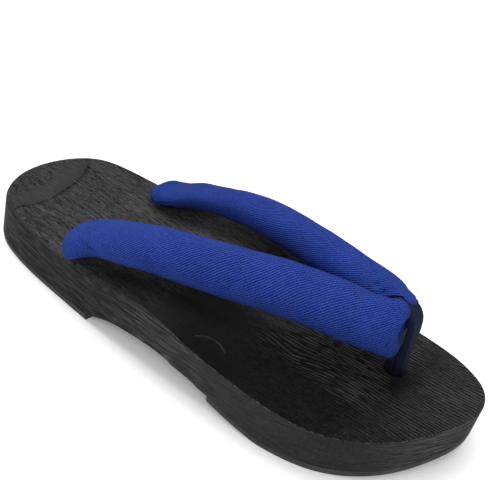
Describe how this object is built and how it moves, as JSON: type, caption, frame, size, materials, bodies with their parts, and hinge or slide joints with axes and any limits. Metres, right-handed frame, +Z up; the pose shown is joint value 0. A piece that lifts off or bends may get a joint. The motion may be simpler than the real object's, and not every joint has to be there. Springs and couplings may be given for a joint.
{
  "type": "geta sandal",
  "caption": "Right-foot wooden geta sandal: contoured dark wood base with arch, thin rubber pads, padded blue V straps and a dark toe loop",
  "frame": {"origin": "centre of the sandal's outline on the floor", "axes": "+X to the toe, +Y to the inner (medial) side, +Z up"},
  "size_m": [0.265, 0.1004, 0.06],
  "materials": {
    "WoodBase": "charred and brushed, satin",
    "HeelPad": "matt",
    "ForefootPad": "matt",
    "StrapUpper": "padded twill",
    "ToeLoop": "close weave"
  },
  "bodies": {
    "root": {"WoodBase": "WoodBase", "HeelPad": "HeelPad", "ForefootPad": "ForefootPad", "StrapUpper": "StrapUpper", "ToeLoop": "ToeLoop"}
  },
  "joints": []
}
